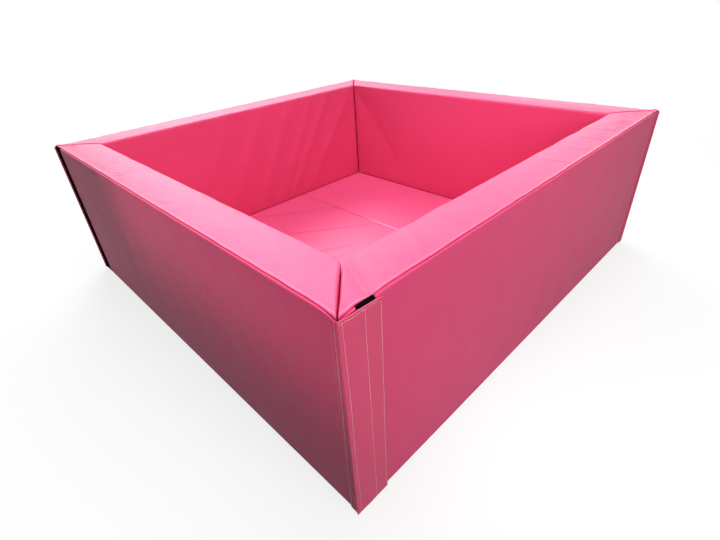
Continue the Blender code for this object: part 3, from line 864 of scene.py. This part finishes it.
for wall in WALLS:
    along, up_there = np.broadcast_arrays(PIT / 2 - STRIP_WIDTH + strip_gone, strip_rise)
    off = strip_off(wall, along, up_there) * (1 - bend) + 0.0028 * bend
    lifted = up_there + 0.0020 * rise((up_there - FLAP_HIGH + 0.04) / 0.04)
    middle = turn_to_wall(vectors(along, -off, lifted), wall)
    out = wall_out(wall, unit(vectors(bend, -np.ones(off.shape), 0.0)))
    strip = sheet_grid(f"{wall}_seam_strip", middle, SHEET * thin_edge, pink_vinyl, out)
    dress(strip, wall, f"{wall}_flap_seam_strip")

    across, up, out_across, out_up = read_line(wall_line, tape_gone[:, None])
    along = LOOP_FROM_CORNER[wall] - PIT / 2 + LOOP_WIDTH * np.linspace(0, 1, TAPE_COLUMNS)[None, :]
    off = np.maximum(wall_relief(wall, along, across, up, tape_gone[:, None]), -0.0002) + LOOP_OUT
    places = vectors(along, across + out_across * off, up + out_up * off)
    out = vectors(0 * off, out_across, out_up)
    thread_places, facing = turn_to_wall(places + out * 0.0003, wall), wall_out(wall, out)
    tape = sheet_grid(f"{wall}_loop_strip", turn_to_wall(places, wall), TAPE, loop_black, facing)
    dress(tape, wall, f"{wall}_loop_tape")
    runs = []
    for column in (1, TAPE_COLUMNS - 2):
        starts, ends = seam_run(thread_places[:, column], TAPE_STITCH, TAPE_STITCH_FILL)
        row = np.searchsorted(tape_gone - tape_gone[0], np.arange(len(starts)) * TAPE_STITCH + 0.001)
        runs.append((starts, ends, facing[row.clip(0, TAPE_ROWS - 1), 1]))
    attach(stitches(f"{wall}_tape_thread", runs, TAPE_THREAD, threads["grey"]), wall)

# %% [markdown]
# Thread is what makes a sheet look sewn. Each stitch is its own little capsule that dives into the cloth at
# both ends. Hundreds of them are placed by one array, so a row costs no more to write than a single stitch.

# %% Stitches on the flaps and the seam strips
THREAD, STRIP_THREAD = 0.0011, 0.00132
STITCH, STITCH_FILL = 0.0058, 0.8
high = np.linspace(FLAP_HIGH - 0.0070, FLAP_LOW + 0.006, 140)
edge = flap_edge(high) - 0.0032
hem_reach = np.linspace(0.003, float(edge[0]) - 0.004, 120)
# The flap's rows as (reach, height): beside the corner, in the middle, at the free edge, under the top hem, and
# a short double one where the middle row meets the hem. The strip's row slants away from the corner.
flap_rows = [
    (CORNER_ROW + 0.0006 * np.sin(high * 19), high),
    (MIDDLE_ROW + 0.0005 * np.sin(high * 23), high),
    (edge - 0.006 * np.clip(1 - (high[0] - high) / 0.007, 0, 1) ** 2, high),
    (hem_reach, FLAP_HIGH - 0.0066 - 0.0006 * np.sin(hem_reach * 50)),
    (np.linspace(0.056, 0.0635, 12), FLAP_HIGH - 0.0072 - 0.001 * np.sin(np.linspace(0, 3, 12))),
]
along = PIT / 2 - 0.008 - 0.012 * (FLAP_HIGH - high) / (FLAP_HIGH - FLAP_LOW)


def stitched(path, facing):
    """A run of stitches along a path that all face one way."""
    starts, ends = seam_run(path, STITCH, STITCH_FILL)
    return starts, ends, np.broadcast_to(facing, starts.shape)


for wall in WALLS:
    laid = [flap_places(wall, reach, up, SHEET / 2 + 0.0002) for reach, up in flap_rows]
    runs = [stitched(path, out[0]) for path, out in laid]
    thread = stitches(f"{wall}_flap_thread", runs, THREAD, threads["cream"])
    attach(thread, f"{wall}_flap")
    seam = vectors(along, -strip_off(wall, along, high) - SHEET / 2 + 0.0001, high)
    run = stitched(turn_to_wall(seam, wall), wall_out(wall, np.array([0.0, -1.0, 0.0])))
    shade = threads["cream" if wall == "left_wall" else "pink"]
    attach(stitches(f"{wall}_strip_thread", [run], STRIP_THREAD, shade), wall)
    print(thread.name, len(thread.data.vertices) // STITCH_POINTS, "stitches")

# %% [markdown]
# ## The floor mat
# Three foam panels in covers of the same vinyl, joined by two sewn folds, one at the top and one at the
# bottom, so that the mat folds like a Z. A panel's top swells a little and its cloth lies in long shallow
# creases.

# %% Mat panels
# Long creases, as seen in the photograph where it shows them: both ends (x, y), width, height and power, in
# millimetres.
PANEL_CREASES = {
    "mat_right": (
        (300, 700, 600, 250, 70, -2, 2),
        (420, 300, 700, 100, 40, 0.8, 2),
    ),
    "mat_middle": (
        (-300, 820, 290, 400, 11, -3.6, 1),
        (-330, 510, 310, 70, 11, -3.8, 1),
        (-320, 212, 20, 33, 12, -2.6, 1),
        (-230, 690, 240, 330, 34, 1.8, 2),
        (-230, 420, 180, 150, 34, 1.4, 2),
        (-230, 80, 150, -140, 20, -1.8, 2),
    ),
    "mat_left": (
        (-700, 300, -400, 100, 20, -2.8, 1),
        (-640, -200, -330, -380, 20, -2.8, 1),
    ),
}
FOLD_RADIUS, EDGE_RADIUS = 0.007, 0.009
FOLDS = {"mat_right": (True, False), "mat_middle": (True, True), "mat_left": (False, True)}


def mat_grid(panel, rows, inset=0.0):
    """A panel's points, made like a wall's: a rounded outline (x, z) swept along Y between rounded ends."""
    left, right = (FOLD_RADIUS if fold else EDGE_RADIUS for fold in FOLDS[panel])
    line = rounded_line((-PANEL / 2, 0.0), (PANEL / 2, MAT_THICKNESS), (left, right, right, left))
    ends = line[2][ARC_ENDS]
    where = np.linspace(0, line[2][-1], FOAM_POINTS, endpoint=False)
    if not inset:
        where = spaced(line[2][-1], fine_stretches(ends, (ends[1] + ends[2]) / 2), 0.0014, 0.0058, 0.03)
    across, up, out_across, out_up = read_line(line, where)
    reach = min(left, right)
    fan, back, draw = rounded_ends(7, rows)
    along = fan * (MAT_WIDTH / 2 - back * reach) * (1 - inset * 2 / MAT_WIDTH)
    drawn = draw * reach + inset
    across, up = across - out_across * drawn, up - out_up * drawn
    if not inset:
        upper = rise((up - MAT_THICKNESS / 2) / (MAT_THICKNESS / 2 - 0.006))
        fullness = bulge(along + MAT_WIDTH / 2, MAT_WIDTH, 4) * bulge(across + PANEL / 2, PANEL, 2)
        seed = 80 + list(PANELS).index(panel)
        x = across + PANELS[panel]
        height = 0.0016 * fullness + 0.0004 * ripples(x, along, 0.20, seed)
        height = height + 0.00015 * ripples(x, along, 0.06, seed + 4)
        height = (height + MM * creases(x, along, PANEL_CREASES[panel])) * upper
        height = np.where(out_up < ON_FLOOR, zip_groove(across, along, MAT_ZIP_HALF), height)
        across, up = across + out_across * height, up + out_up * height
    return vectors(across + PANELS[panel], along, up)


MAT_ROWS = 270
for panel in PANELS:
    shape = mat_grid(panel, MAT_ROWS)
    x, y = shape[..., 0], shape[..., 1]
    # Painted shade darkens the bottoms of the sharp creases, and a painted highlight pales the near part of the
    # right panel's fold edge.
    sharp = [(*mark[:4], 8.5, 0.26, 1) for mark in PANEL_CREASES[panel] if mark[6] == 1]
    pale = (panel == "mat_right") * 0.9 * ridge(x - PITCH / 2 - 0.0025, 0.0030) * rise((0.24 - y) / 0.12)
    dirt_and_painted_light = (creases(x, y, sharp) - pale) * (shape[..., 2] > MAT_THICKNESS / 2)
    add_block(panel, shape, mat_vinyl, dirt_and_painted_light, mat_grid(panel, FOAM_ROWS, MAT_FOAM_INSET))

# %% The two sewn folds
def fold_bead(name, x, height, body, node, sunk=0.0):
    """A round seam along Y whose radius and height waver a little. Its far part sinks between the panels and is
    darkened by painted shade.
    """
    reach = MAT_WIDTH / 2 - 0.012
    places = np.linspace(-reach, reach, 320)[:, None]
    turns = np.linspace(0, 2 * math.pi, 14, endpoint=False)[None, :]
    radius = 0.00105 + 0.00008 * ripples(places, 0, 0.012, 90)
    lift = 0.0001 * ripples(places, 0, 0.08, 91) - sunk * rise((places - 0.20) / 0.20)
    grid = vectors(x + radius * np.cos(turns), places, height + lift + radius * np.sin(turns))
    # Painted shade darkens the far part of the bead.
    bead = closed_skin(name, grid, bead_vinyl, 0.8 * rise((places - 0.12) / 0.12) + 0 * turns)
    dress(bead, body, node)
    print(bead.name, "at x", round(x, 4))


fold_bead("mat_top_fold_bead", PITCH / 2, MAT_THICKNESS - 0.0013, "mat_right", "mat_top_fold_seam", 0.0012)
fold_bead("mat_bottom_fold_bead", -PITCH / 2, 0.0013, "mat_middle", "mat_bottom_fold_seam")

# %% [markdown]
# ## Zips on the undersides
# Soft play covers have a zip underneath, so that the foam can go in. It hides in a groove: a woven tape
# with a coil of teeth on it, and a slider without a pull tab. The coil is one ridge whose height goes up
# and down once a tooth.

# %% Zip tapes with their coils
TOOTH = 0.0024
ZIP_HALF_WIDTH, ZIP_CLOTH = 0.0135, 0.0008
COIL_NECK, COIL_HALF_WIDTH = 0.0012, 0.0024


def add_zip(owner, half, place=None):
    """A zip in the underside of a wall, or of a panel whose middle is at the place: there it runs along Y.

    It is a rib shaped like a T: a wide thin tape, and under its middle a coil whose depth waves with the teeth.
    """
    along = np.linspace(-half, half, int(2 * half / (TOOTH / 3)))[:, None]
    tooth = 0.5 + 0.5 * np.cos(2 * math.pi * along / TOOTH)
    tape = GROOVE_DEPTH - 0.0003 - ZIP_CLOTH
    shoulder = tape - 0.0012
    under = shoulder - 0.0008 - 0.0008 * tooth
    wide = COIL_HALF_WIDTH + 0.0006 * tooth
    side = [
        (ZIP_HALF_WIDTH, tape + ZIP_CLOTH), (ZIP_HALF_WIDTH, tape), (COIL_NECK, tape), (COIL_NECK, shoulder),
        (wide, shoulder - 0.0001), (wide, (under + shoulder) / 2), (wide * 0.5, under),
    ]
    rib = side + [(-x, z) for x, z in reversed(side)]
    grid = np.stack([np.concatenate(np.broadcast_arrays(along, x, z), axis=1) for x, z in rib], axis=1)
    if place is None:
        grid = turn_to_wall(grid + np.array([0, THICKNESS / 2, 0]), owner)
    else:
        grid = vectors(place - grid[..., 1], grid[..., 0], grid[..., 2])
    piece = closed_skin(f"{owner}_coil_zip", grid, zip_woven)
    dress(piece, owner, f"{owner}_zip")
    print(piece.name, len(piece.data.polygons), "faces")


for wall in WALLS:
    add_zip(wall, WALL_ZIP_HALF)
for panel, x in PANELS.items():
    add_zip(panel, MAT_ZIP_HALF, x)
for name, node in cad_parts.items():
    if name.endswith("_slider"):
        for slot in range(len(node.data.materials)):
            node.data.materials[slot] = slider_plastic
        print(name, "slots:", len(node.data.materials))

# %% [markdown]
# ## The ground and the light
# The photograph is a cut-out on white, lit softly from above and from behind the pit. The floor is a plain
# pale one: the camera and every reflection see it nearly white with the pit's shadow on it, and it throws
# little light back up, as a grey studio floor would.

# %% Floor
def seen_directly(tree):
    """1 for rays from the camera, from a reflection or through a clear piece, and 0 for bounced light."""
    path = tree.nodes.new("ShaderNodeLightPath")
    rays = [Value(tree, path.outputs[f"Is {kind} Ray"]) for kind in ("Camera", "Glossy", "Transmission")]
    return rays[0].math("MAXIMUM", rays[1]).math("MAXIMUM", rays[2])


def studio_floor():
    """A plane 60 m wide. What sees it directly finds it white, and what it lights by bouncing finds it grey."""
    made = Finish("studio_floor")
    far = made.add("ShaderNodeVectorMath", {"operation": "LENGTH"}, {0: made.places}, output=1)
    far = ((far - 2.2) * 0.45).math("MINIMUM", 1.0).math("MAXIMUM", 0.0)
    lit = made.add("ShaderNodeBsdfDiffuse", sockets={"Color": (0.80, 0.80, 0.80, 1)})
    white = made.add("ShaderNodeEmission", sockets={"Color": (1, 1, 1, 1), "Strength": 1.0})
    seen_floor = made.add("ShaderNodeMixShader", sockets={0: far * 0.22 + 0.78, 1: lit, 2: white})
    dull = made.add("ShaderNodeBsdfDiffuse", sockets={"Color": (0.12, 0.12, 0.12, 1)})
    mixed = made.add("ShaderNodeMixShader", sockets={0: seen_directly(made.tree), 1: dull, 2: seen_floor})
    made.add("ShaderNodeOutputMaterial", sockets={"Surface": mixed})
    corners = [(-30, -30, 0), (30, -30, 0), (30, 30, 0), (-30, 30, 0)]
    return mesh_piece("studio_floor", corners, [(0, 1, 2, 3)], made.material)


studio_floor()
print("floor laid")

# %% World
world = bpy.data.worlds.new("studio")
bpy.context.scene.world = world
world.use_nodes = True
tree = world.node_tree
tree.nodes.clear()
shine = tree.nodes.new("ShaderNodeBackground")
shine.inputs["Color"].default_value = (1, 1, 1, 1)
ROOM = 0.02
plug(tree, shine.inputs["Strength"], seen_directly(tree) * (1 - ROOM) + ROOM)
tree.links.new(shine.outputs[0], tree.nodes.new("ShaderNodeOutputWorld").inputs[0])
print("room light", ROOM)

# %% Lamps
def lamp(name, place, aim, size, power, length=None, spread=180):
    """An area lamp at a place that shines at an aim: square, or with a length along the pit's Y axis."""
    light = bpy.data.lights.new(name, "AREA")
    light.shape, light.size, light.size_y = "RECTANGLE", size, length or size
    light.energy, light.spread = power, math.radians(spread)
    back = unit(np.subtract(place, aim))
    side = unit(np.cross([0.0, 1.0, 0.001], back))
    put(name, light, side, np.cross(back, side), back, place).visible_camera = False


lamp("key_lamp", (-0.75, -0.85, 2.9), (-0.1, -0.1, 0.3), 1.4, 47)
lamp("top_lamp", (0.0, 0.0, 3.6), (0, 0, 0), 1.7, 28)
lamp("front_lamp", (-0.75, -2.9, 1.5), (-0.2, -0.9, 0.3), 1.2, 43)
lamp("back_lamp", (5.6, 5.6, 6.6), (-0.4, -0.4, 0.6), 5.1, 470)
lamp("back_left_lamp", (2.67, 6.55, 6.0), (-0.83, -0.5, 0.6), 3.9, 475)
lamp("far_left_lamp", (0.8, 6.4, 3.3), (-0.6, 0, 0.6), 3.6, 135)
lamp("far_right_lamp", (6.6, 1.0, 3.0), (0, -0.6, 0.6), 3.8, 150)
lamp("left_lamp", (-1.75, -0.95, 1.35), (-0.9, -0.85, 0.53), 0.12, 0.90, 2.2, 22)
lamp("near_left_lamp", (-2.4, -0.95, 1.1), (-0.9, -0.6, 0.45), 0.5, 0.4)
lamp("inside_lamp", (-0.55, -0.05, 1.45), (0.755, 0.0, 0.25), 0.3, 1.4, 1.1, 70)
